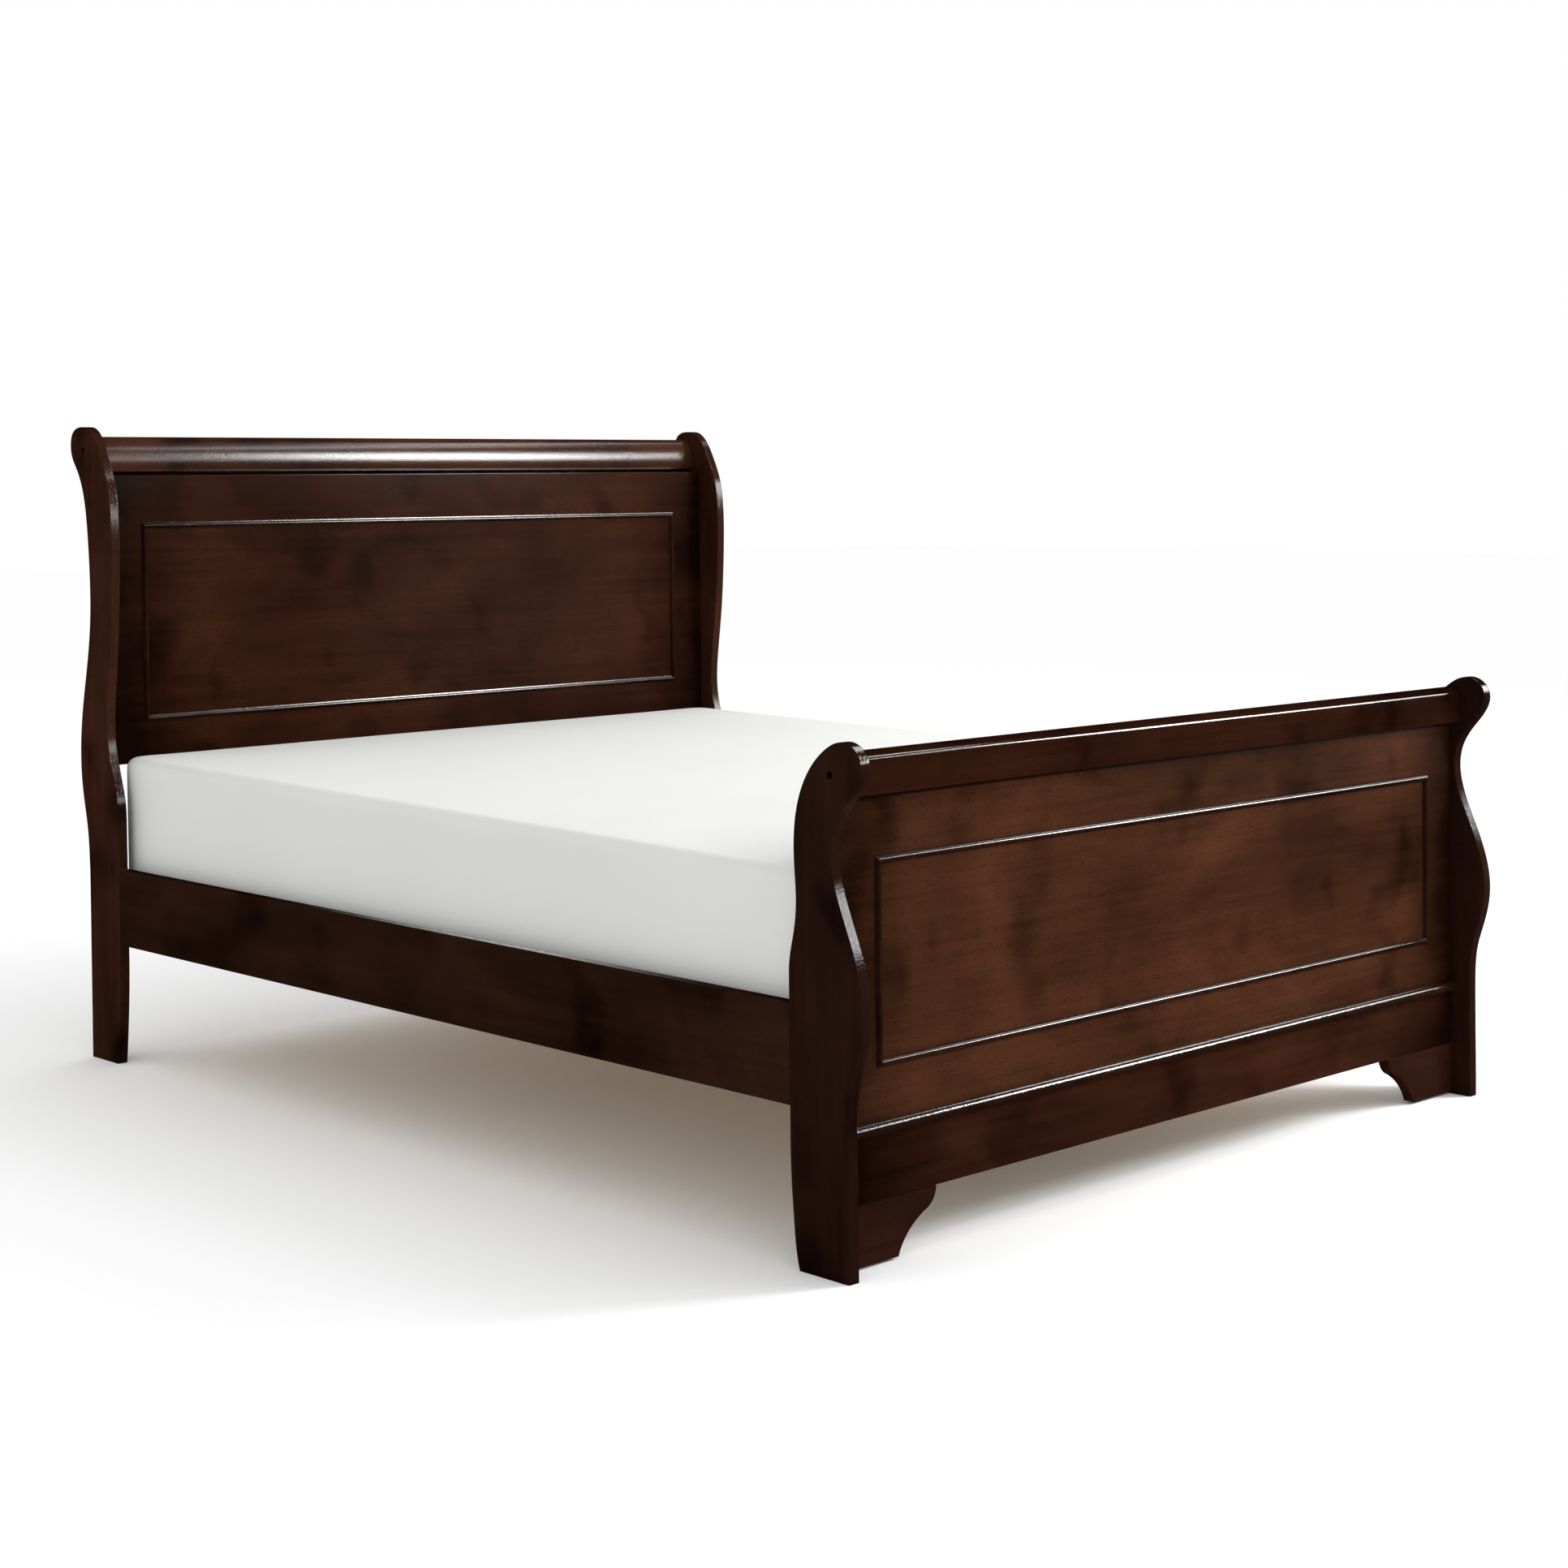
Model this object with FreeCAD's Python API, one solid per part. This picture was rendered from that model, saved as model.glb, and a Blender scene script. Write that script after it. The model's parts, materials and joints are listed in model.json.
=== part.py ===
import FreeCAD, Part
import math
import os

os.makedirs("parts", exist_ok=True)
V = FreeCAD.Vector

# ---- driving sizes, mm: +X width, +Y towards the headboard, +Z up, floor at z = 0 ----
BED_W = 1600.0            # over the outer faces of the posts
POST_T = 21.0             # post board thickness
IN_X = BED_W / 2 - POST_T           # inner face of the posts
FOOT_BACK_Y = -978.0      # straight back edge of the foot posts
FOOT_FRONT_Y = -1099.0    # straight front edge of the foot posts
HEAD_FRONT_Y = 968.0      # straight front edge of the head posts
HEAD_BACK_Y = 1085.0      # straight back edge of the head posts
HEAD_TOP_Z = 1260.0
FOOT_TOP_Z = 770.0

RAIL_T = 20.0             # side rail
RAIL_Z0, RAIL_Z1 = 237.0, 387.0
RAIL_X1 = BED_W / 2 - 1.0           # rail face sits just inside the post face
RAIL_X0 = RAIL_X1 - RAIL_T

LEDGER_W, LEDGER_H = 20.0, 34.0
LEDGER_Z1 = 285.0
SLAT_W, SLAT_T, SLAT_N = 75.0, 18.0, 13
SLAT_Z0 = LEDGER_Z1
SLAT_L = 2 * (RAIL_X0 - 1.5)

HEAD_PANEL_Y, HEAD_PANEL_T = 1043.0, 18.0
HEAD_PANEL_Z0, HEAD_PANEL_Z1 = 585.0, 1163.0
FOOT_PANEL_Y, FOOT_PANEL_T = -1058.0, 16.0
FOOT_PANEL_Z0, FOOT_PANEL_Z1 = 200.0, 684.0
FOOT_RAIL_T, FOOT_RAIL_Z0 = 22.0, 94.0

BEAD_W, BEAD_H = 12.0, 6.0
WAIST_R = 9.0             # half-round moulding on the footboard
BRACKET_T, BRACKET_Z0 = 22.0, 4.0
BRACKET_X = 580.0         # inner tip of the bracket foot

BEAM_W, BEAM_H = 44.0, 54.0
LEG_Y = (-620.0, 0.0, 620.0)
LEG_S, LEG_Z0 = 42.0, 32.0
GLIDE_PAD_R, GLIDE_PAD_H, GLIDE_STEM_R = 17.0, 9.0, 4.0

BOLT_HEAD_R, BOLT_R, BOLT_DEPTH = 6.2, 3.2, 8.0
HEAD_BOLT = (1082.0, 1213.0)
FOOT_BOLT = (-1068.0, 722.0)

MAT_W, MAT_Y0, MAT_Y1 = 1540.0, -1041.2, 1036.5
MAT_Z0, MAT_HEAD_Z, MAT_FOOT_Z, MAT_R = 304.0, 608.0, 578.0, 26.0


# ---- small helpers ----
def save(shape, node):
    shape.exportStep("parts/" + node + ".step")


def box(x0, x1, y0, y1, z0, z1):
    return Part.makeBox(x1 - x0, y1 - y0, z1 - z0, V(x0, y0, z0))


def yz(points, x=0.0):
    return [V(x, y, z) for y, z in points]


def spline(points):
    curve = Part.BSplineCurve()
    curve.interpolate(Points=points)
    return curve.toShape()


def line(a, b):
    return Part.makeLine(a, b)


def arc(a, b, c):
    return Part.Arc(a, b, c).toShape()


def prism(edges, vector):
    return Part.Face(Part.Wire(edges)).extrude(vector)


def ease(shape, radius, pick):
    """Round over the edges that pick(edge) chooses."""
    chosen = [e for e in shape.Edges if pick(e)]
    return shape.makeFillet(radius, chosen)


def mirror_x(shape):
    return shape.mirror(V(0, 0, 0), V(1, 0, 0))


def rod(x, y, z, r, length, axis):
    return Part.makeCylinder(r, length, V(x, y, z), axis)


def screw(x, y, z, axis, length=28.0, r=2.1, head_r=4.2, head_h=2.2):
    """Countersunk wood screw: the head starts at (x, y, z) and the shank runs along axis."""
    head = Part.makeCone(head_r, r, head_h, V(x, y, z), axis)
    return head.fuse(Part.makeCylinder(r, length, V(x, y, z), axis)).removeSplitter()


# ---- post outlines: the S-curve of the scroll, seen from the side ----
def head_post_outline(x):
    scroll = yz([(HEAD_BACK_Y, 330), (1085.5, 390), (1092, 462), (1108, 535), (1113.5, 604), (1104, 690),
                 (1083, 780), (1066.5, 870), (1064, 950), (1071, 1052), (1090, 1141), (1110, 1176),
                 (1127, 1200), (1132, 1224), (1125, 1247), (1107, 1258), (1086, HEAD_TOP_Z),
                 (1064, 1257.5), (1047, 1248), (1033, 1233), (1010, 1195), (990, 1150), (979, 1095),
                 (976.5, 1020), (980, 930), (988, 835), (1001, 740), (1007, 668), (1000, 612),
                 (984, 562), (971.5, 520), (968.2, 470), (HEAD_FRONT_Y, 420)], x)
    toe = yz([(HEAD_FRONT_Y, 225), (968.8, 175), (971, 130), (977, 60), (984, 0)], x)
    heel = V(x, 1087, 0)
    return [line(heel, scroll[0]), spline(scroll), line(scroll[-1], toe[0]), spline(toe),
            line(toe[-1], heel)]


def foot_post_outline(x):
    heel = yz([(-995, 0), (-989, 25), (-984, 70), (-979.5, 130), (FOOT_BACK_Y, 185)], x)
    scroll = yz([(FOOT_BACK_Y, 430), (-981.5, 460), (-990, 495), (-994.5, 540), (-991.5, 590),
                 (-992.5, 642), (-1004, 690), (-1028, 731), (-1060, 759), (-1092, FOOT_TOP_Z),
                 (-1120, 759), (-1131, 735), (-1118, 703), (-1091, 671), (-1073, 640), (-1067.5, 608),
                 (-1076, 560), (-1103, 494), (-1124, 434), (-1130, 381), (-1117, 318), (-1104, 276),
                 (FOOT_FRONT_Y, 230), (-1098.5, 170), (FOOT_FRONT_Y, 90), (FOOT_FRONT_Y, 0)], x)
    return [spline(heel), line(heel[-1], scroll[0]), spline(scroll), line(scroll[-1], heel[0])]


def make_post(outline, bolt):
    """A post board for the +X side, eased on both faces, counterbored for the crest bolt."""
    post = prism(outline(IN_X), V(POST_T, 0, 0))

    def on_face(e):
        xs = [v.X for v in e.Vertexes]
        low = max(v.Z for v in e.Vertexes) < 1.0
        return max(xs) - min(xs) < 0.01 and not low

    post = ease(post, 2.5, on_face)
    y, z = bolt
    post = post.cut(rod(BED_W / 2 - BOLT_DEPTH, y, z, BOLT_HEAD_R, BOLT_DEPTH + 1, V(1, 0, 0)))
    return post.cut(rod(IN_X - 1, y, z, BOLT_R, POST_T + 2, V(1, 0, 0)))


PLATE_T, PLATE_L, PLATE_Z0, PLATE_H = 2.5, 62.0, 306.0, 66.0
PLATE_SCREWS = [(18, 320), (48, 320), (18, 358), (48, 358)]


def corner_holes(board, y_joint, side):
    """Pilot holes for the corner plate's screws, on one side of the joint between rail and post."""
    for dy, z in PLATE_SCREWS:
        board = board.cut(rod(IN_X, y_joint + side * dy, z, 2.1, 12.0, V(1, 0, 0)))
    return board


head_post = corner_holes(make_post(head_post_outline, HEAD_BOLT), HEAD_FRONT_Y, 1)
foot_post = corner_holes(make_post(foot_post_outline, FOOT_BOLT), FOOT_BACK_Y, -1)
save(head_post, "head_post_right")
save(mirror_x(head_post), "head_post_left")
save(foot_post, "foot_post_right")
save(mirror_x(foot_post), "foot_post_left")


# ---- crest rails: rolled boards between the posts ----
def crest(edges, bolt):
    body = prism(edges, V(2 * IN_X, 0, 0))
    for x, d in ((-IN_X - 1, 1), (IN_X + 1, -1)):
        body = body.cut(rod(x, bolt[0], bolt[1], BOLT_R, 46, V(d, 0, 0)))
    return body


QUIRK_H = 8.0             # shadow gap under the face of the head crest
FOOT_QUIRK_H = 3.5


def head_crest_edges(x):
    """Convex face over an undercut foot, so that a shadow line shows above the panel."""
    root, step = V(x, 1081, 1163), V(x, 1072.5, 1163 + QUIRK_H)
    a, c = V(x, 1070, 1163 + QUIRK_H), V(x, 1079, 1231)
    d, f = V(x, 1096, 1241), V(x, 1120, 1212)
    g, h = V(x, 1110, 1184), V(x, 1094, 1163)
    return [line(root, step), line(step, a), arc(a, V(x, 1067.5, 1200), c), arc(c, V(x, 1086, 1238), d),
            arc(d, V(x, 1112, 1233), f), arc(f, V(x, 1118, 1196), g), line(g, h), line(h, root)]


def foot_crest_edges(x):
    """Nearly flat face with a tight roll at its top front, overhanging the panel by a shadow gap."""
    root, step = V(x, -1058, 684), V(x, -1058, 684 + FOOT_QUIRK_H)
    a, b, c = V(x, -1076, 684 + FOOT_QUIRK_H), V(x, -1083, 738), V(x, -1077, 745)
    d, f, g = V(x, -1052, 750.5), V(x, -1030, 722), V(x, -1026, 684)
    return [line(root, step), line(step, a), arc(a, V(x, -1081, 713), b), arc(b, V(x, -1081.3, 742.8), c),
            arc(c, V(x, -1065, 749), d), arc(d, V(x, -1037, 740), f), line(f, g), line(g, root)]


save(crest(head_crest_edges(-IN_X), HEAD_BOLT), "head_crest_rail")
save(crest(foot_crest_edges(-IN_X), FOOT_BOLT), "foot_crest_rail")


# ---- flat boards between the posts ----
def top_front(e, y):
    return all(abs(v.Y - y) < 0.01 for v in e.Vertexes) and abs(e.Vertexes[0].Z - e.Vertexes[-1].Z) < 0.01


head_panel = box(-IN_X, IN_X, HEAD_PANEL_Y, HEAD_PANEL_Y + HEAD_PANEL_T, HEAD_PANEL_Z0, HEAD_PANEL_Z1)
head_panel = ease(head_panel, 0.6, lambda e: top_front(e, HEAD_PANEL_Y))
save(head_panel, "head_panel")

# cap board that carries the crest behind the panel's top edge
save(box(-IN_X, IN_X, HEAD_PANEL_Y + HEAD_PANEL_T, 1083, 1120, 1163), "head_crest_cleat")

HEAD_RAIL_Y = 1044.0
save(box(-IN_X, IN_X, HEAD_RAIL_Y, HEAD_RAIL_Y + 22, 232, 332), "head_lower_rail")

foot_back = FOOT_PANEL_Y + FOOT_PANEL_T
save(box(-IN_X, IN_X, FOOT_PANEL_Y, foot_back, FOOT_PANEL_Z0, FOOT_PANEL_Z1), "foot_panel")
foot_rail = box(-IN_X, IN_X, FOOT_PANEL_Y, FOOT_PANEL_Y + FOOT_RAIL_T, FOOT_RAIL_Z0, FOOT_PANEL_Z0)
foot_rail = ease(foot_rail, 1.5, lambda e: top_front(e, FOOT_PANEL_Y) and e.Vertexes[0].Z < 100)
save(foot_rail, "foot_bottom_rail")
save(box(-600, 600, foot_back, foot_back + 20, 210, 262), "foot_beam_cleat")


# ---- applied beads: a stepped half-round, mitred into a rectangle ----
def bead_profile(w, h):
    """Closed profile in (u across, v proud): small steps at both sides and a round middle."""
    s = 1.8
    pts = [(-w / 2, 0), (-w / 2, 1.4), (-w / 2 + s, 1.8)]
    return pts, (0, h), [(w / 2 - s, 1.8), (w / 2, 1.4), (w / 2, 0)]


def bead_strip(length, to_world):
    """Strip of the given centreline length, its ends cut at 45 degrees."""
    left, top, right = bead_profile(BEAD_W, BEAD_H)
    half = length / 2
    end = half + BEAD_W
    p = [V(-end, u, v) for u, v in left + right]
    crown = V(-end, *top)
    edges = [line(p[0], p[1]), line(p[1], p[2]), arc(p[2], crown, p[3]), line(p[3], p[4]),
             line(p[4], p[5]), line(p[5], p[0])]
    strip = prism(edges, V(2 * end, 0, 0))
    w = BEAD_W
    keep = Part.Face(Part.makePolygon([V(-half - w, w, -1), V(half + w, w, -1), V(half - w, -w, -1),
                                       V(-half + w, -w, -1), V(-half - w, w, -1)])).extrude(V(0, 0, 20))
    strip = strip.common(keep)
    strip.transformShape(to_world)
    return strip


def frame_matrix(u_axis, v_axis, n_axis, origin):
    return FreeCAD.Matrix(u_axis.x, v_axis.x, n_axis.x, origin.x,
                          u_axis.y, v_axis.y, n_axis.y, origin.y,
                          u_axis.z, v_axis.z, n_axis.z, origin.z,
                          0, 0, 0, 1)


def bead_frame(name, half_x, z0, z1, y):
    """Four strips; the long side of each mitre faces outwards, and they stand proud towards -Y."""
    n = V(0, -1, 0)
    wide, tall, zc = 2 * half_x, z1 - z0, (z0 + z1) / 2
    places = {
        "top": (wide, V(1, 0, 0), V(0, 0, 1), V(0, y, z1)),
        "bottom": (wide, V(-1, 0, 0), V(0, 0, -1), V(0, y, z0)),
        "left": (tall, V(0, 0, 1), V(-1, 0, 0), V(-half_x, y, zc)),
        "right": (tall, V(0, 0, -1), V(1, 0, 0), V(half_x, y, zc)),
    }
    for side, (length, u, v, origin) in places.items():
        save(bead_strip(length, frame_matrix(u, v, n, origin)), name + "_bead_" + side)


bead_frame("head", 690.0, 674.0, 1062.0, HEAD_PANEL_Y)
bead_frame("foot", 696.0, 294.0, 590.0, FOOT_PANEL_Y)

# waist moulding: a half-round on a thin flat, across the joint of panel and bottom rail
wy, wz = FOOT_PANEL_Y, 200.0
waist = [line(V(-IN_X, wy, wz - WAIST_R), V(-IN_X, wy - 3, wz - WAIST_R)),
         arc(V(-IN_X, wy - 3, wz - WAIST_R), V(-IN_X, wy - 3 - WAIST_R, wz), V(-IN_X, wy - 3, wz + WAIST_R)),
         line(V(-IN_X, wy - 3, wz + WAIST_R), V(-IN_X, wy, wz + WAIST_R)),
         line(V(-IN_X, wy, wz + WAIST_R), V(-IN_X, wy, wz - WAIST_R))]
save(prism(waist, V(2 * IN_X, 0, 0)), "foot_waist_moulding")


# ---- bracket feet under the bottom rail, with glue blocks behind ----
def bracket_foot():
    y = FOOT_PANEL_Y

    def p(x, z):
        return V(x, y, z)

    edges = [line(p(IN_X, BRACKET_Z0), p(IN_X, FOOT_RAIL_Z0)),
             line(p(IN_X, FOOT_RAIL_Z0), p(BRACKET_X, FOOT_RAIL_Z0)),
             arc(p(BRACKET_X, FOOT_RAIL_Z0), p(587, 74), p(605, 61)),
             spline([p(605, 61), p(626, 48), p(645, 30), p(658, 9)]),
             line(p(658, 9), p(660, BRACKET_Z0)),
             line(p(660, BRACKET_Z0), p(IN_X, BRACKET_Z0))]
    return prism(edges, V(0, BRACKET_T, 0))


save(bracket_foot(), "bracket_foot_right")
save(mirror_x(bracket_foot()), "bracket_foot_left")
block = box(IN_X - 24, IN_X, FOOT_PANEL_Y + BRACKET_T, FOOT_PANEL_Y + BRACKET_T + 24, 22, 190)
save(Part.makeCompound([block, mirror_x(block)]), "bracket_glue_blocks")


# ---- side rails, ledgers and hook hardware ----
def lengthwise(e, x, z):
    vs = e.Vertexes
    return (abs(vs[0].Y - vs[-1].Y) > 1000
            and all(abs(v.X - x) < 0.01 and abs(v.Z - z) < 0.01 for v in vs))


side_rail = box(RAIL_X0, RAIL_X1, FOOT_BACK_Y, HEAD_FRONT_Y, RAIL_Z0, RAIL_Z1)
for rx, rz in ((RAIL_X1, RAIL_Z0), (RAIL_X1, RAIL_Z1), (RAIL_X0, RAIL_Z1)):
    side_rail = ease(side_rail, 2.5, lambda e: lengthwise(e, rx, rz))

# flat steel plates across each joint of rail and post, on the inner faces
plates, plate_screws = [], []
for y_joint in (FOOT_BACK_Y, HEAD_FRONT_Y):
    plate = box(IN_X - PLATE_T, IN_X, y_joint - PLATE_L, y_joint + PLATE_L, PLATE_Z0, PLATE_Z0 + PLATE_H)
    plate = ease(plate, 8.0, lambda e: abs(e.Vertexes[0].X - e.Vertexes[-1].X) > 2)
    for side in (-1, 1):
        for dy, z in PLATE_SCREWS:
            one = screw(IN_X - PLATE_T, y_joint + side * dy, z, V(1, 0, 0), length=14.5)
            plate = plate.cut(one)
            plate_screws.append(one)
    plates.append(plate)
side_rail = corner_holes(corner_holes(side_rail, FOOT_BACK_Y, 1), HEAD_FRONT_Y, -1)

ledger_x0 = RAIL_X0 - LEDGER_W
ledger = box(ledger_x0, RAIL_X0, FOOT_BACK_Y + 1, HEAD_FRONT_Y - 1, LEDGER_Z1 - LEDGER_H, LEDGER_Z1)
ledger_screws = []
for i in range(7):
    y, z = -905.0 + i * 300.0, LEDGER_Z1 - LEDGER_H / 2
    ledger = ledger.cut(screw(ledger_x0, y, z, V(1, 0, 0), length=32))
    side_rail = side_rail.cut(rod(RAIL_X0, y, z, 2.1, 12, V(1, 0, 0)))
    ledger_screws.append(screw(ledger_x0, y, z, V(1, 0, 0), length=32))

save(side_rail, "side_rail_right")
save(mirror_x(side_rail), "side_rail_left")
save(ledger, "ledger_right")
save(mirror_x(ledger), "ledger_left")


def both_sides(shapes):
    return Part.makeCompound(shapes + [mirror_x(s) for s in shapes])


save(both_sides(plates), "corner_plates")
save(both_sides(plate_screws), "corner_plate_screws")
save(both_sides(ledger_screws), "ledger_screws")


# ---- crest bolts, sunk in the outer faces of the posts ----
def crest_bolt(y, z):
    head = rod(BED_W / 2 - BOLT_DEPTH, y, z, BOLT_HEAD_R - 0.4, 3.6, V(1, 0, 0))
    socket = Part.Face(Part.makePolygon([V(BED_W / 2 - BOLT_DEPTH + 1.6, y + 2.4 * math.cos(k * math.pi / 3),
                                           z + 2.4 * math.sin(k * math.pi / 3)) for k in range(7)]))
    head = head.cut(socket.extrude(V(3, 0, 0)))
    shank = rod(IN_X - 40, y, z, BOLT_R - 0.1, POST_T + 40 - BOLT_DEPTH, V(1, 0, 0))
    return head.fuse(shank).removeSplitter()


save(both_sides([crest_bolt(*HEAD_BOLT), crest_bolt(*FOOT_BOLT)]), "crest_bolts")


# ---- slats on the ledgers ----
SLAT_Y0, SLAT_Y1 = -935.0, 925.0
slat_pitch = (SLAT_Y1 - SLAT_Y0) / (SLAT_N - 1)
for i in range(SLAT_N):
    y = SLAT_Y0 + i * slat_pitch - SLAT_W / 2
    slat = box(-SLAT_L / 2, SLAT_L / 2, y, y + SLAT_W, SLAT_Z0, SLAT_Z0 + SLAT_T)
    slat = ease(slat, 2.0, lambda e: abs(e.Vertexes[0].X - e.Vertexes[-1].X) > 1000)
    save(slat, "slat_%02d" % (i + 1))

# two woven straps on top that keep the slats evenly spaced
DECK_Z = SLAT_Z0 + SLAT_T
strap = box(560, 585, SLAT_Y0 - 34, SLAT_Y1 + 34, DECK_Z, DECK_Z + 0.5)
save(both_sides([strap]), "slat_webbing")


# ---- centre beam with three legs on screw-in glides ----
BEAM_Z1, BEAM_Z0 = SLAT_Z0, SLAT_Z0 - BEAM_H
beam_y0, beam_y1 = foot_back + 20, HEAD_RAIL_Y
save(box(-BEAM_W / 2, BEAM_W / 2, beam_y0, beam_y1, BEAM_Z0, BEAM_Z1), "centre_beam")


def hanger(y, d):
    """U-shaped steel hanger: a back plate, a shelf under the beam and two cheeks."""
    t, w, depth = 1.5, BEAM_W / 2, 34.0
    a, b = sorted((y, y + d * depth))
    shelf = box(-w - t, w + t, a, b, BEAM_Z0 - t, BEAM_Z0)
    cheek = box(w, w + t, a, b, BEAM_Z0, BEAM_Z0 + 38)
    ya, yb = sorted((y, y + d * t))
    wing = box(w + t, w + 22, ya, yb, BEAM_Z0 - t, BEAM_Z0 + 22)
    return shelf.fuse([cheek, mirror_x(cheek), wing, mirror_x(wing)]).removeSplitter()


save(Part.makeCompound([hanger(beam_y0, 1), hanger(beam_y1, -1)]), "beam_hangers")

for i, ly in enumerate(LEG_Y):
    leg = box(-LEG_S / 2, LEG_S / 2, ly - LEG_S / 2, ly + LEG_S / 2, LEG_Z0, BEAM_Z0)
    leg = ease(leg, 3.0, lambda e: abs(e.Vertexes[0].Z - e.Vertexes[-1].Z) > 100)
    leg = leg.cut(rod(0, ly, LEG_Z0 - 1, 6.0, 41, V(0, 0, 1)))
    save(leg, "centre_leg_%d" % (i + 1))
    insert = rod(0, ly, LEG_Z0, 6.0, 16, V(0, 0, 1)).cut(rod(0, ly, LEG_Z0 - 1, 4.4, 20, V(0, 0, 1)))
    save(insert, "leg_insert_%d" % (i + 1))
    pad = rod(0, ly, 0, GLIDE_PAD_R, GLIDE_PAD_H, V(0, 0, 1))
    pad = ease(pad, 2.0, lambda e: e.Vertexes[0].Z > 1)
    stem = rod(0, ly, GLIDE_PAD_H, GLIDE_STEM_R, 47, V(0, 0, 1))
    nut = Part.Face(Part.makePolygon([V(7.5 * math.cos(k * math.pi / 3), ly + 7.5 * math.sin(k * math.pi / 3),
                                        GLIDE_PAD_H) for k in range(7)])).extrude(V(0, 0, 4))
    save(pad.fuse([nut, stem]).removeSplitter(), "glide_%d" % (i + 1))


# ---- mattress: a plain soft block, a little lower at the foot end ----
side = [V(-MAT_W / 2, MAT_Y0, MAT_Z0), V(-MAT_W / 2, MAT_Y1, MAT_Z0),
        V(-MAT_W / 2, MAT_Y1, MAT_HEAD_Z), V(-MAT_W / 2, MAT_Y0, MAT_FOOT_Z)]
mattress = Part.Face(Part.makePolygon(side + side[:1])).extrude(V(MAT_W, 0, 0))
mattress = ease(mattress, MAT_R, lambda e: min(v.Z for v in e.Vertexes) > MAT_Z0 + 5
                or abs(e.Vertexes[0].Z - e.Vertexes[-1].Z) > 200)
save(mattress, "mattress")
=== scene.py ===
"""Sleigh bed: finishes, mattress, small hardware, studio and camera around the fixed frame."""

import json
import math

import bmesh
import bpy
import numpy as np
from mathutils import Matrix, Vector

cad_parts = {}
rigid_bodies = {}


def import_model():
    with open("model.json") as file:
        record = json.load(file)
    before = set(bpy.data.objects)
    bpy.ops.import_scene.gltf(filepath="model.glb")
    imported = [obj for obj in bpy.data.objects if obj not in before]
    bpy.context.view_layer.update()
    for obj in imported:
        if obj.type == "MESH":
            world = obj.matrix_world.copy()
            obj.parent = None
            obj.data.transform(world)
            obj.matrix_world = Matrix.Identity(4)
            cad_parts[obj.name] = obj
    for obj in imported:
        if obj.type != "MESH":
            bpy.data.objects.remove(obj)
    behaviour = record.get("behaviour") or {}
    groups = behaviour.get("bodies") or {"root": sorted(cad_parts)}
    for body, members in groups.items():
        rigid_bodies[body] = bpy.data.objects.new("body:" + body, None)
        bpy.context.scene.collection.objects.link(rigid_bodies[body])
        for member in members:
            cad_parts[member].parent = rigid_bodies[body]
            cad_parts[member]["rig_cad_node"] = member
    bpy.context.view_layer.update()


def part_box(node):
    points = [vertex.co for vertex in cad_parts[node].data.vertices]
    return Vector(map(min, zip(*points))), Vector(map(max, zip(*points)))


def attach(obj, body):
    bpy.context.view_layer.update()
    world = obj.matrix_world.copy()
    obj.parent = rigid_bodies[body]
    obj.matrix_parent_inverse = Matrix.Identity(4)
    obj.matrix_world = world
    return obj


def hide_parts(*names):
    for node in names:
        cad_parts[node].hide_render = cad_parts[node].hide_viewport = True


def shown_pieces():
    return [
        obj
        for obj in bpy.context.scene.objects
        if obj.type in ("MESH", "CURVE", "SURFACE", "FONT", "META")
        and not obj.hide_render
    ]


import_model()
NODES = {o["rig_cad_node"] if "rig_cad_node" in o else o.name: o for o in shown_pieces()}
MM = 0.001


# ---------------------------------------------------------------- colour and node helpers
def linear(hex_colour):
    """sRGB hex to the linear colour a shader wants."""
    def channel(i):
        c = int(hex_colour[i:i + 2], 16) / 255
        return c / 12.92 if c <= 0.04045 else ((c + 0.055) / 1.055) ** 2.4
    return (channel(1), channel(3), channel(5), 1.0)


def new_tree(name):
    mat = bpy.data.materials.new(name)
    mat.use_nodes = True
    mat.node_tree.nodes.clear()
    return mat, mat.node_tree


def set_stops(scale, stops):
    """Stops of a colour scale, each a position and a hex, grey or linear colour."""
    while len(scale.elements) < len(stops):
        scale.elements.new(0.5)
    for element, (position, colour) in zip(scale.elements, stops):
        element.position = position
        if isinstance(colour, str):
            colour = linear(colour)
        element.color = colour if isinstance(colour, tuple) else (colour, colour, colour, 1)


def add(tree, kind, settings=None, out=None, **sockets):
    """Add a node. settings are its properties, or the stops of its colour scale; sockets are its inputs by
    name or number, each a value or a link; out picks the output to hand back in place of the node."""
    node = tree.nodes.new(kind)
    for key, value in (settings or {}).items():
        if key == "stops":
            set_stops(node.color_ramp, value)
        else:
            setattr(node, key, value)
    for key, value in sockets.items():
        numbered = key[0] == "i" and key[1:].isdigit()
        socket = node.inputs[int(key[1:])] if numbered else node.inputs[key.replace("_", " ")]
        if isinstance(value, bpy.types.NodeSocket):
            tree.links.new(value, socket)
        else:
            socket.default_value = value
    return node if out is None else node.outputs[out]


def per_metre(period_mm):
    """Noise scale whose main lumps are period_mm across, on coordinates in metres."""
    return 1000.0 / period_mm


def stretched(tree, along, factor, offset=(0, 0, 0)):
    """Object coordinates shrunk along one axis, so a pattern on them runs long that way."""
    coords = add(tree, "ShaderNodeTexCoord", out="Object")
    scale = [1.0, 1.0, 1.0]
    scale["XYZ".index(along)] = 1.0 / factor
    return add(tree, "ShaderNodeMapping", out="Vector", Vector=coords, Scale=scale, Location=offset)


# ---------------------------------------------------------------- materials
def scaled(hex_colour, k):
    return tuple(c * k for c in linear(hex_colour)[:3]) + (1,)


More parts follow.
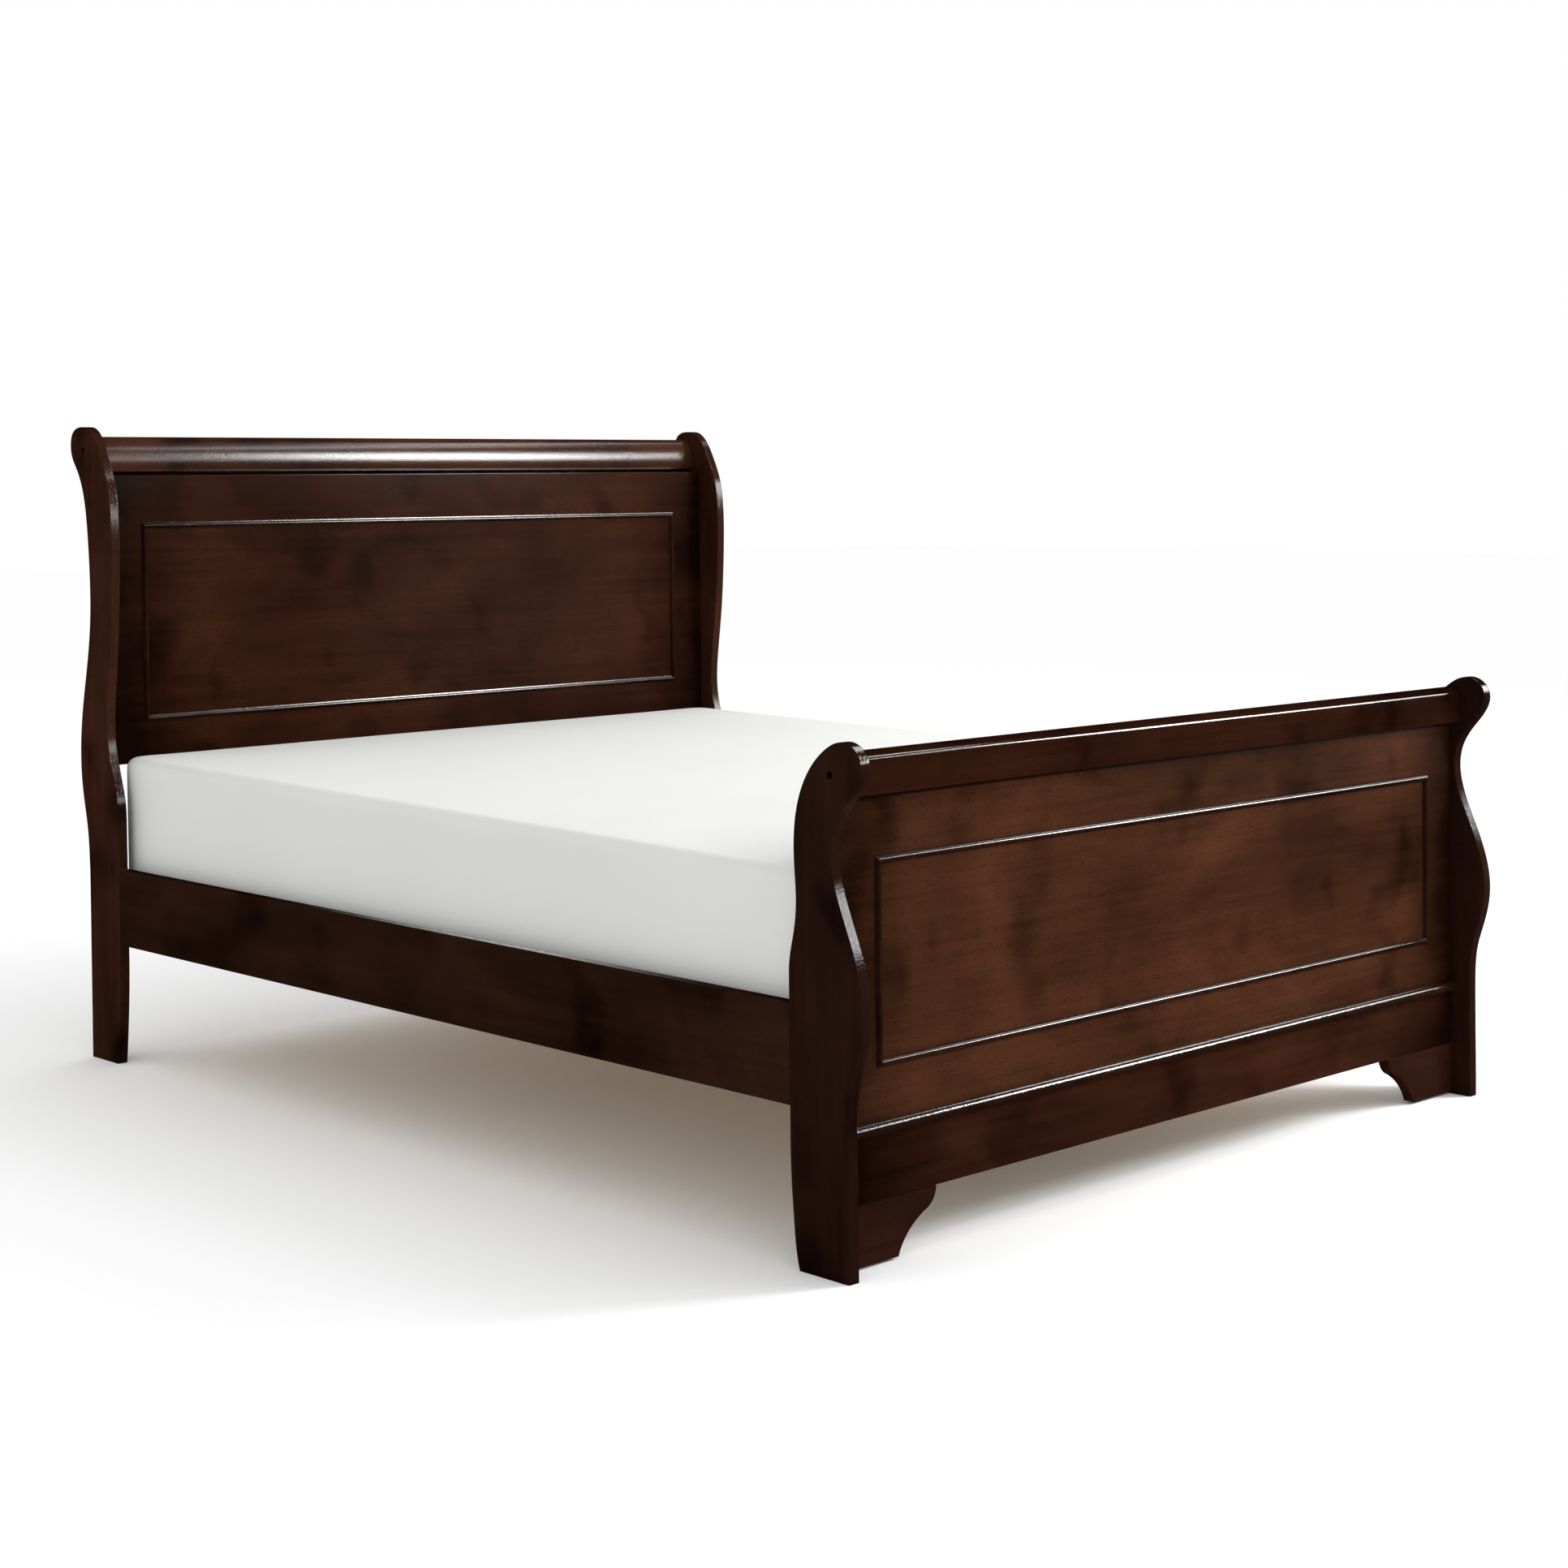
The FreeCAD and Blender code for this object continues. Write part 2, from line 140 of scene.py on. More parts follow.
def cherry_lacquer(name, along, stain, offset=(0, 0, 0), painted_shade=(), peel_depth=0.2, coat_rough=0.1):
    """Cherry-stained hardwood, toned brown, under a semi-gloss sprayed lacquer. The stain clouds in
    hand-sized patches with a few dark smudges, painted shade darkens bands where shade falls (beside the
    posts and in the shadow lines at the crests), and short open pores and a faint orange peel break the
    reflections up. Each entry of painted shade is an axis, where the darkening starts and is full along it,
    in metres from the middle plane for X and from the floor for Z, and how deep it is."""
    mat, tree = new_tree(name)
    turned_offset = (offset[1], offset[2], offset[0])
    clouds = add(tree, "ShaderNodeTexNoise", out="Fac", Vector=stretched(tree, along, 1.8, offset),
                 Scale=per_metre(240), Detail=3, Roughness=0.6, Distortion=0.4)
    smudges = add(tree, "ShaderNodeTexNoise", out="Fac", Vector=stretched(tree, along, 0.9, turned_offset),
                  Scale=per_metre(150), Detail=2, Roughness=0.45, Distortion=0.25)
    streaks = add(tree, "ShaderNodeTexNoise", out="Fac", Vector=stretched(tree, along, 26, offset),
                  Scale=per_metre(13), Detail=4, Roughness=0.65, Distortion=0.2)
    pores = add(tree, "ShaderNodeTexNoise", out="Fac", Vector=stretched(tree, along, 5, offset),
                Scale=per_metre(1.6), Detail=2, Roughness=0.5, Distortion=0.0)
    peel = add(tree, "ShaderNodeTexNoise", out="Fac", Vector=stretched(tree, along, 1.3, offset),
               Scale=per_metre(2.2), Detail=1.5, Roughness=0.6, Distortion=0.0)
    tone = add(tree, "ShaderNodeMapRange", out="Result", Value=clouds, From_Min=0.3, From_Max=0.7,
               To_Min=0.26, To_Max=0.70)
    streaked = add(tree, "ShaderNodeMath", {"operation": "SUBTRACT"}, out=0, i0=streaks, i1=0.5)
    streaked = add(tree, "ShaderNodeMath", {"operation": "MULTIPLY"}, out=0, i0=streaked, i1=0.42)
    tone = add(tree, "ShaderNodeMath", {"operation": "ADD"}, out=0, i0=tone, i1=streaked)
    smudged = add(tree, "ShaderNodeMapRange", {"interpolation_type": "SMOOTHSTEP"}, out="Result",
                  Value=smudges, From_Min=0.52, From_Max=0.80, To_Min=0.0, To_Max=0.34)
    tone = add(tree, "ShaderNodeMath", {"operation": "SUBTRACT"}, out=0, i0=tone, i1=smudged)
    place = add(tree, "ShaderNodeSeparateXYZ", Vector=add(tree, "ShaderNodeTexCoord", out="Object"))
    # painted shade: each entry darkens the stain in a band, standing in for the shade beside the posts and at
    # the crests
    for axis, near, far, depth in painted_shade:
        where = add(tree, "ShaderNodeMath", {"operation": "ABSOLUTE"}, out=0, i0=place.outputs[axis])
        if abs(far - near) > 0.02:        # a wide band of painted shade has a ragged edge, a painted shadow line a sharp one
            ragged = add(tree, "ShaderNodeMath", {"operation": "MULTIPLY"}, out=0, i0=smudges, i1=0.08)
            where = add(tree, "ShaderNodeMath", {"operation": "ADD"}, out=0, i0=where, i1=ragged)
        painted_shade_depth = add(tree, "ShaderNodeMapRange", out="Result", Value=where, From_Min=near, From_Max=far,
                   To_Min=0.0, To_Max=depth)
        tone = add(tree, "ShaderNodeMath", {"operation": "SUBTRACT"}, out=0, i0=tone, i1=painted_shade_depth)
    shades = [(0.0, scaled(stain, 0.22)), (0.3, scaled(stain, 0.62)), (0.5, scaled(stain, 1.0)),
              (0.85, scaled(stain, 1.75))]
    colour = add(tree, "ShaderNodeValToRGB", {"stops": shades}, out="Color", i0=tone)
    flecks = add(tree, "ShaderNodeValToRGB", {"stops": [(0.30, 0.62), (0.41, 1.0)]}, out="Color", i0=pores)
    colour = add(tree, "ShaderNodeMix", {"data_type": "RGBA", "blend_type": "MULTIPLY"}, out=2, i0=1.0,
                 i6=colour, i7=flecks)
    dents = add(tree, "ShaderNodeMath", {"operation": "MULTIPLY"}, out=0, i0=flecks, i1=0.2)
    relief = add(tree, "ShaderNodeMath", {"operation": "ADD"}, out=0, i0=dents, i1=peel)
    bump = add(tree, "ShaderNodeBump", out="Normal", Height=relief, Strength=1.0, Distance=peel_depth * MM)
    rough = add(tree, "ShaderNodeMapRange", out="Result", Value=clouds, From_Min=0.3, From_Max=0.7,
                To_Min=0.46, To_Max=0.36)
    surface = add(tree, "ShaderNodeBsdfPrincipled", out="BSDF", Base_Color=colour, Roughness=rough,
                  Normal=bump, IOR=1.5, Specular_IOR_Level=0.0, Coat_Weight=1.0,
                  Coat_Roughness=coat_rough, Coat_IOR=1.5, Coat_Normal=bump)
    add(tree, "ShaderNodeOutputMaterial", Surface=surface)
    return mat


def planed_pine(name, along, offset=(0, 0, 0)):
    """Unfinished planed pine: pale sapwood with darker growth lines a few millimetres apart and
    the odd knot-warped patch; it is dry, so it hardly shines."""
    mat, tree = new_tree(name)
    vector = stretched(tree, along, 18, offset)
    warp = add(tree, "ShaderNodeTexNoise", out="Fac", Vector=vector, Scale=per_metre(60), Detail=2,
               Roughness=0.5, Distortion=0.0)
    rings = add(tree, "ShaderNodeTexWave", {"wave_type": "BANDS", "bands_direction": "DIAGONAL"}, out="Fac",
                Vector=vector, Scale=42.0, Distortion=5.0, Detail=2.0, Detail_Scale=1.2)
    fibre = add(tree, "ShaderNodeTexNoise", out="Fac", Vector=stretched(tree, along, 30, offset),
                Scale=per_metre(0.8), Detail=2, Roughness=0.6, Distortion=0.0)
    ringed = add(tree, "ShaderNodeMath", {"operation": "MULTIPLY"}, out=0, i0=rings, i1=0.45)
    warped = add(tree, "ShaderNodeMath", {"operation": "MULTIPLY"}, out=0, i0=warp, i1=0.55)
    tone = add(tree, "ShaderNodeMath", {"operation": "ADD"}, out=0, i0=ringed, i1=warped)
    colour = add(tree, "ShaderNodeValToRGB", {"stops": [(0.15, "#B98B57"), (0.45, "#D6B07A"),
                                                        (0.8, "#E6C999")]}, out="Color", i0=tone)
    bump = add(tree, "ShaderNodeBump", out="Normal", Height=fibre, Strength=0.3, Distance=0.1 * MM)
    surface = add(tree, "ShaderNodeBsdfPrincipled", out="BSDF", Base_Color=colour, Roughness=0.72,
                  Normal=bump, IOR=1.45)
    add(tree, "ShaderNodeOutputMaterial", Surface=surface)
    return mat


def plated_steel(name, deep, pale, smooth, dull):
    """Plated pressed steel: grey or bronzed metal, faintly cloudy where the plating crystals differ, with
    fine rolling lines; its passivated skin scatters part of the light, so it stays a soft grey or brown."""
    mat, tree = new_tree(name)
    clouds = add(tree, "ShaderNodeTexNoise", out="Fac", Vector=stretched(tree, "Z", 1.0),
                 Scale=per_metre(9), Detail=3, Roughness=0.6, Distortion=0.0)
    lines = add(tree, "ShaderNodeTexNoise", out="Fac", Vector=stretched(tree, "Y", 40),
                Scale=per_metre(0.6), Detail=2, Roughness=0.5, Distortion=0.0)
    rough = add(tree, "ShaderNodeMapRange", out="Result", Value=clouds, From_Min=0.3, From_Max=0.7,
                To_Min=smooth, To_Max=dull)
    colour = add(tree, "ShaderNodeValToRGB", {"stops": [(0.3, deep), (0.7, pale)]}, out="Color", i0=clouds)
    bump = add(tree, "ShaderNodeBump", out="Normal", Height=lines, Strength=0.2, Distance=0.04 * MM)
    surface = add(tree, "ShaderNodeBsdfPrincipled", out="BSDF", Base_Color=colour, Roughness=rough,
                  Normal=bump, Metallic=0.6)
    add(tree, "ShaderNodeOutputMaterial", Surface=surface)
    return mat


def moulded_nylon(name):
    """Injection-moulded black nylon: deep, slightly satin, with a spark-eroded mould grain."""
    mat, tree = new_tree(name)
    grain = add(tree, "ShaderNodeTexNoise", out="Fac", Vector=stretched(tree, "Z", 1.0),
                Scale=per_metre(0.5), Detail=2, Roughness=0.6, Distortion=0.0)
    colour = add(tree, "ShaderNodeValToRGB", {"stops": [(0.3, "#121213"), (0.7, "#1D1D1E")]}, out="Color",
                 i0=grain)
    bump = add(tree, "ShaderNodeBump", out="Normal", Height=grain, Strength=0.3, Distance=0.05 * MM)
    surface = add(tree, "ShaderNodeBsdfPrincipled", out="BSDF", Base_Color=colour, Roughness=0.5,
                  Normal=bump, IOR=1.53)
    add(tree, "ShaderNodeOutputMaterial", Surface=surface)
    return mat


def woven_tape(name):
    """Plain-woven polypropylene tape: warp and weft ribs 1.2 mm apart on a cream yarn."""
    mat, tree = new_tree(name)
    ribs = 2 * math.pi / (1.2 * MM)
    place = add(tree, "ShaderNodeSeparateXYZ", Vector=add(tree, "ShaderNodeTexCoord", out="Object"))
    warp, weft = [add(tree, "ShaderNodeMath", {"operation": "SINE"}, out=0, i0=add(
        tree, "ShaderNodeMath", {"operation": "MULTIPLY"}, out=0, i0=place.outputs[axis], i1=ribs))
        for axis in "XY"]
    weave = add(tree, "ShaderNodeMath", {"operation": "MULTIPLY"}, out=0, i0=warp, i1=weft)
    tone = add(tree, "ShaderNodeMath", {"operation": "MULTIPLY_ADD"}, out=0, i0=weave, i1=0.5, i2=0.5)
    colour = add(tree, "ShaderNodeValToRGB", {"stops": [(0.0, "#A39D8C"), (1.0, "#D8D3C4")]}, out="Color",
                 i0=tone)
    bump = add(tree, "ShaderNodeBump", out="Normal", Height=weave, Strength=0.6, Distance=0.25 * MM)
    surface = add(tree, "ShaderNodeBsdfPrincipled", out="BSDF", Base_Color=colour, Roughness=0.85,
                  Normal=bump, Sheen_Weight=0.2)
    add(tree, "ShaderNodeOutputMaterial", Surface=surface)
    return mat


def knit_ticking(name):
    """Fine circular-knit mattress cover: off-white, quite matt, its loops drawn 2.4 mm apart, which is
    coarser than life so that they show, with a slow drift in whiteness."""
    mat, tree = new_tree(name)
    coords = add(tree, "ShaderNodeTexCoord", out="Object")
    place = add(tree, "ShaderNodeSeparateXYZ", Vector=coords)
    pitch = 2 * math.pi / (2.4 * MM)
    waves = []
    for axis, count in (("X", pitch), ("Y", pitch * 1.3)):
        across = add(tree, "ShaderNodeMath", {"operation": "ADD"}, out=0, i0=place.outputs[axis],
                     i1=place.outputs["Z"])
        across = add(tree, "ShaderNodeMath", {"operation": "MULTIPLY"}, out=0, i0=across, i1=count)
        waves.append(add(tree, "ShaderNodeMath", {"operation": "SINE"}, out=0, i0=across))
    loops = add(tree, "ShaderNodeMath", {"operation": "MULTIPLY"}, out=0, i0=waves[0], i1=waves[1])
    drift = add(tree, "ShaderNodeTexNoise", out="Fac", Vector=coords, Scale=per_metre(320), Detail=2,
                Roughness=0.5, Distortion=0.0)
    fuzz = add(tree, "ShaderNodeTexNoise", out="Fac", Vector=coords, Scale=per_metre(1.6), Detail=2,
               Roughness=0.6, Distortion=0.0)
    looped = add(tree, "ShaderNodeMath", {"operation": "MULTIPLY"}, out=0, i0=loops, i1=0.12)
    tone = add(tree, "ShaderNodeMath", {"operation": "MULTIPLY_ADD"}, out=0, i0=drift, i1=0.7, i2=looped)
    colour = add(tree, "ShaderNodeValToRGB", {"stops": [(0.1, "#D4D5D1"), (0.6, "#D9DAD6")]}, out="Color",
                 i0=tone)
    height = add(tree, "ShaderNodeMath", {"operation": "MULTIPLY_ADD"}, out=0, i0=loops, i1=0.5, i2=fuzz)
    bump = add(tree, "ShaderNodeBump", out="Normal", Height=height, Strength=0.35, Distance=0.3 * MM)
    surface = add(tree, "ShaderNodeBsdfPrincipled", out="BSDF", Base_Color=colour, Roughness=0.9,
                  Normal=bump, Sheen_Weight=0.15, Sheen_Roughness=0.5, IOR=1.4)
    add(tree, "ShaderNodeOutputMaterial", Surface=surface)
    return mat


def painted_floor(name):
    """Smooth pale studio floor."""
    mat, tree = new_tree(name)
    surface = add(tree, "ShaderNodeBsdfPrincipled", out="BSDF", Base_Color=linear("#FDFDFD"), Roughness=0.9,
                  Specular_IOR_Level=0.0)
    add(tree, "ShaderNodeOutputMaterial", Surface=surface)
    return mat


def finish_nodes(mat, *names):
    for name in names:
        obj = NODES[name]
        obj.data.materials.clear()
        obj.data.materials.append(mat)


# painted shade: the foot posts take a darker stain than the head posts, though all four are the same cherry,
# so that they look as dark as they do in this lighting
HEAD_STAIN, FOOT_POST_STAIN_WITH_PAINTED_SHADE, RAIL_STAIN = "#311B12", "#22120C", "#29170F"


def finish_wood():
    """Every lacquered board gets the grain direction it was cut with, and its own patch of figure."""
    # painted shade: the head panel and foot bottom rail darken over their last 200 mm towards the posts, and
    # the foot panel over its last 140 mm, standing in for the shade beside the posts
    painted_shade_by_posts = ("X", 0.60, 0.80, 0.44)
    crest_foot, panel_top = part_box("head_crest_rail")[0].z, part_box("foot_panel")[1].z
    # painted shadow: the lowest 9 mm of the head crest darken, fully below 7.5 mm, for the shade in the gap
    # above the head panel
    painted_shadow_in_head_crest_gap = ("Z", crest_foot + 9 * MM, crest_foot + 7.5 * MM, 0.95)
    # painted shadow: the top 5 mm of the foot panel darken, fully in the last 1 mm, for the shade under the
    # foot crest's overhang
    painted_shadow_under_foot_crest = ("Z", panel_top - 5 * MM, panel_top - 1 * MM, 0.7)
    # The head panel's stain is darker and redder, and the foot crest's darker, than the wood's own: partly
    # painted shade that offsets the pale sheen their lacquer reflects under these lamps.
    along_x = [("head_crest_rail", "#3A2015", [painted_shadow_in_head_crest_gap], 0.24),
               ("foot_crest_rail", "#2A140B", [], 0.12),
               ("head_panel", "#2F170C", [painted_shade_by_posts], 0.1),
               ("foot_panel", "#3E2315", [("X", 0.66, 0.80, 0.38), painted_shadow_under_foot_crest], 0.2),
               ("foot_bottom_rail", "#331A10", [painted_shade_by_posts], 0.2), ("head_lower_rail", RAIL_STAIN, [], 0.2),
               ("foot_waist_moulding", "#26140D", [], 0.3), ("bracket_foot_left", "#2A160F", [], 0.2),
               ("bracket_foot_right", "#2A160F", [], 0.2), ("head_crest_cleat", RAIL_STAIN, [], 0.2)]
    for i, (name, stain, painted_shade, peel) in enumerate(along_x):
        offset = (0.37 * i, 0.21 * i, 0.6 * i)
        rubbed = 0.17 if name == "head_crest_rail" else 0.1
        finish_nodes(cherry_lacquer("cherry_lacquer_" + name, "X", stain, offset, painted_shade, peel, rubbed), name)
    beads = [n for n in NODES if "_bead_" in n]
    finish_nodes(cherry_lacquer("cherry_lacquer_beads", "X", "#26130C", (3, 2, 1)), *beads)
    for i, name in enumerate(("head_post_left", "head_post_right", "foot_post_left", "foot_post_right")):
        stain = HEAD_STAIN if name.startswith("head") else FOOT_POST_STAIN_WITH_PAINTED_SHADE
        finish_nodes(cherry_lacquer("cherry_lacquer_" + name, "Z", stain, (0.5 * i, 1.3 * i, 0.4 * i)), name)
    for i, name in enumerate(("side_rail_left", "side_rail_right")):
        offset = (1.1 * i, 0.7 * i, 2 + i)
        finish_nodes(cherry_lacquer("cherry_lacquer_" + name, "Y", RAIL_STAIN, offset), name)
    finish_nodes(planed_pine("planed_pine_slats", "X"), *[n for n in NODES if n.startswith("slat_0")
                 or n.startswith("slat_1")], "foot_beam_cleat")
    finish_nodes(planed_pine("planed_pine_lengthwise", "Y", (0.4, 0.2, 0.1)), "ledger_left", "ledger_right",
                 "centre_beam")
    finish_nodes(planed_pine("planed_pine_legs", "Z", (0.1, 0.6, 0.3)), "centre_leg_1", "centre_leg_2",
                 "centre_leg_3", "bracket_glue_blocks")


# ---------------------------------------------------------------- mattress
def mesh_object(name, verts, faces, mat, smooth=True):
    mesh = bpy.data.meshes.new(name)
    mesh.from_pydata([tuple(v) for v in verts], [], faces)
    mesh.update()
    for poly in mesh.polygons:
        poly.use_smooth = smooth
    obj = bpy.data.objects.new(name, mesh)
    bpy.context.scene.collection.objects.link(obj)
    mesh.materials.append(mat)
    return obj


def soft_steps(lo, hi, edge, cell):
    """Grid positions from lo to hi: five steps round each edge, even cells between."""
    bend = [edge * (1 - math.cos(math.pi / 2 * k / 5)) for k in range(5)]
    n = max(2, round((hi - lo - 2 * edge) / cell))
    flat = [lo + edge + (hi - lo - 2 * edge) * k / n for k in range(n + 1)]
    return [lo + b for b in bend] + flat + [hi - b for b in reversed(bend)]


def rounded_block(name, lo, hi, edge, cell, mat):
    """Closed all-quad block with round edges, from a grid wrapped round an inner box."""
    axes = [soft_steps(lo[i], hi[i], edge, cell) for i in range(3)]
    counts = [len(a) for a in axes]
    index, verts, faces = {}, [], []

    def vert(i, j, k):
        key = (i, j, k)
        if key not in index:
            q = Vector((axes[0][i], axes[1][j], axes[2][k]))
            inner = Vector([min(max(q[a], lo[a] + edge), hi[a] - edge) for a in range(3)])
            out = q - inner
            index[key] = len(verts)
            verts.append(inner + out.normalized() * edge if out.length > 1e-9 else q)
        return index[key]

    for axis in range(3):
        u, v = [a for a in range(3) if a != axis]
        for end in (0, counts[axis] - 1):
            for a in range(counts[u] - 1):
                for b in range(counts[v] - 1):
                    quad = []
                    for da, db in ((0, 0), (1, 0), (1, 1), (0, 1)):
                        key = [0, 0, 0]
                        key[axis], key[u], key[v] = end, a + da, b + db
                        quad.append(vert(*key))
                    faces.append(quad)
    obj = mesh_object(name, verts, faces, mat)
    bm = bmesh.new()
    bm.from_mesh(obj.data)
    bmesh.ops.recalc_face_normals(bm, faces=bm.faces)
    bm.to_mesh(obj.data)
    bm.free()
    return obj


def make_mattress(mat):
    lo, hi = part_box("mattress")
    gap = 4 * MM                          # room for the cover to swell into
    slope = 30 * MM                       # how much lower the top is at the foot end
    top_head = hi.z - gap
    low = Vector((lo.x + gap, lo.y + gap, lo.z + 0.3 * MM))
    high = Vector((hi.x - gap, hi.y - gap, top_head))
    obj = rounded_block("mattress_padded", low, high, 22 * MM, 24 * MM, mat)
    for v in obj.data.vertices:           # the top runs down a little towards the foot end
        along = (high.y - v.co.y) / (high.y - low.y)
        rise = (v.co.z - low.z) / (high.z - low.z)
        v.co.z -= slope * along * rise
    bend = 46 * MM                        # the vertical corners are rounder than the top edge
    for v in obj.data.vertices:
        cx = min(max(v.co.x, low.x + bend), high.x - bend)
        cy = min(max(v.co.y, low.y + bend), high.y - bend)
        out = Vector((v.co.x - cx, v.co.y - cy))
        if out.length > 1e-9:
            out *= max(abs(out.x), abs(out.y)) / out.length
            v.co.x, v.co.y = cx + out.x, cy + out.y
    rest = np.array([v.co[:] for v in obj.data.vertices])
    pin = obj.vertex_groups.new(name="underside")
    pin.add([v.index for v in obj.data.vertices if v.co.z < low.z + 30 * MM], 1.0, "REPLACE")
    cloth = obj.modifiers.new("cloth", "CLOTH")
    s = cloth.settings
    s.quality, s.mass = 5, 0.4
    s.tension_stiffness = s.compression_stiffness = 40
    s.shear_stiffness, s.bending_stiffness = 30, 12
    s.use_pressure, s.uniform_pressure_force = True, 2.5
    s.effector_weights.gravity = 0
    s.vertex_group_mass = "underside"
    scene = bpy.context.scene
    cloth.point_cache.frame_start, cloth.point_cache.frame_end = 1, 20
    for f in range(1, 21):
        scene.frame_set(f)
    done = obj.evaluated_get(bpy.context.evaluated_depsgraph_get()).data
    moved = np.array([v.co[:] for v in done.vertices]) - rest
    obj.modifiers.remove(cloth)
    obj.vertex_groups.clear()
    scene.frame_set(1)
    size = np.linalg.norm(moved, axis=1, keepdims=True)
    cap = 3.2 * MM                    # a firm foam core lets the cover swell this far
    moved *= np.minimum(1.0, cap / np.maximum(size, 1e-9))
    for v, m in zip(obj.data.vertices, moved):
        v.co += Vector(m)
    sub = obj.modifiers.new("smooth", "SUBSURF")
    sub.levels = sub.render_levels = 1
    obj.visible_glossy = False            # a white slab mirrored in the headboard would grey its lacquer
    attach(obj, "mattress")
    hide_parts("mattress")
    return obj


# ---------------------------------------------------------------- small hardware
def solids(node):
    """Box of each separate solid in a CAD node, as (low, high)."""
    bm = bmesh.new()
    bm.from_mesh(NODES[node].data)
    bmesh.ops.remove_doubles(bm, verts=bm.verts, dist=1e-6)
    left, found = set(bm.verts), []
    while left:
        stack, group = [left.pop()], []
        while stack:
            v = stack.pop()
            group.append(v.co.copy())
            for e in v.link_edges:
                other = e.other_vert(v)
                if other in left:
                    left.remove(other)
                    stack.append(other)
        found.append((Vector([min(c[i] for c in group) for i in range(3)]),
                      Vector([max(c[i] for c in group) for i in range(3)])))
    bm.free()
    return found


def turned(name, profile, mat, segments=24, dent=None):
    """Closed turned shape from (radius, height) points, on +Z; dent(x, y, z) may sink its points."""
    verts, faces = [], []
    for r, z in profile:
        for k in range(segments):
            a = 2 * math.pi * k / segments
            p = Vector((r * math.cos(a), r * math.sin(a), z))
            if dent:
                p.z += dent(p.x, p.y, z)
            verts.append(p)
    for i in range(len(profile) - 1):
        for k in range(segments):
            j = (k + 1) % segments
            faces.append((i * segments + k, i * segments + j, (i + 1) * segments + j, (i + 1) * segments + k))
    faces.append(tuple(reversed(range(segments))))
    faces.append(tuple(range((len(profile) - 1) * segments, len(profile) * segments)))
    return mesh_object(name, verts, faces, mat, smooth=False)


def cross_screw(mat):
    """Countersunk cross-recess wood screw, its head flush at z = 0, pointing along +Z. Only the first
    11.6 mm of the shank is made, and it has no thread: all of it is buried in the wood."""
    def recess(x, y, z):
        arm = min(abs(x), abs(y)) < 0.55 * MM and max(abs(x), abs(y)) < 2.3 * MM
        return 1.3 * MM if z < 0.01 * MM and arm else 0.0
    profile = [(0.2, 0), (0.5, 0), (1.0, 0), (1.6, 0), (2.2, 0), (2.5, 0), (4.15, 0), (2.05, 2.2), (2.05, 11),
               (1.4, 11.6)]
    return turned("cross_screw", [(r * MM, z * MM) for r, z in profile], mat, 32, recess)


def tape_staple(mat):
    """Wire staple pressed into the tape: a flat crown 11 mm wide with round shoulders, legs going down."""
    path = [(-5.5, -5), (-5.5, -0.6), (-5.2, 0), (5.2, 0), (5.5, -0.6), (5.5, -5)]
    w, h, verts, faces = 0.5 * MM, 0.22 * MM, [], []
    for i, (x, z) in enumerate(path):
        side = Vector((-1, 0, 0)) if i in (0, 1) else Vector((1, 0, 0)) if i in (4, 5) else Vector((0, 0, 1))
        centre = Vector((x * MM, 0, z * MM - h))
        for a, b in ((-w, -h), (w, -h), (w, h), (-w, h)):
            verts.append(centre + Vector((0, a, 0)) + side * b)
    for i in range(len(path) - 1):
        for k in range(4):
            j = (k + 1) % 4
            faces.append((i * 4 + k, i * 4 + j, i * 4 + 4 + j, i * 4 + 4 + k))
    faces += [(3, 2, 1, 0), tuple(range(len(path) * 4 - 4, len(path) * 4))]
    return mesh_object("tape_staple", verts, faces, mat, smooth=False)


def node_group(name, inputs):
    tree = bpy.data.node_groups.new(name, "GeometryNodeTree")
    for label, kind in inputs:
        tree.interface.new_socket(label, in_out="INPUT", socket_type=kind)
    tree.interface.new_socket("Geometry", in_out="OUTPUT", socket_type="NodeSocketGeometry")
    return tree, tree.nodes.new("NodeGroupInput").outputs


def finished(name, tree, values, start=None):
    """Run a tree on a start mesh, keep the plain mesh it makes, and clear the helpers away."""
    base = start or bpy.data.objects.new(name, bpy.data.meshes.new(name))
    if not start:
        bpy.context.scene.collection.objects.link(base)
    mod = base.modifiers.new("build", "NODES")
    mod.node_group = tree
    for item in tree.interface.items_tree:
        if item.name in values:
            mod[item.identifier] = values[item.name]
    evaluated = base.evaluated_get(bpy.context.evaluated_depsgraph_get())
    mesh = bpy.data.meshes.new_from_object(evaluated)
    obj = bpy.data.objects.new(name, mesh)
    bpy.context.scene.collection.objects.link(obj)
    bpy.data.objects.remove(base)
    bm = bmesh.new()
    bm.from_mesh(mesh)
    bmesh.ops.remove_doubles(bm, verts=bm.verts, dist=1e-6)
    bmesh.ops.recalc_face_normals(bm, faces=bm.faces)
    bm.to_mesh(mesh)
    bm.free()
    return obj


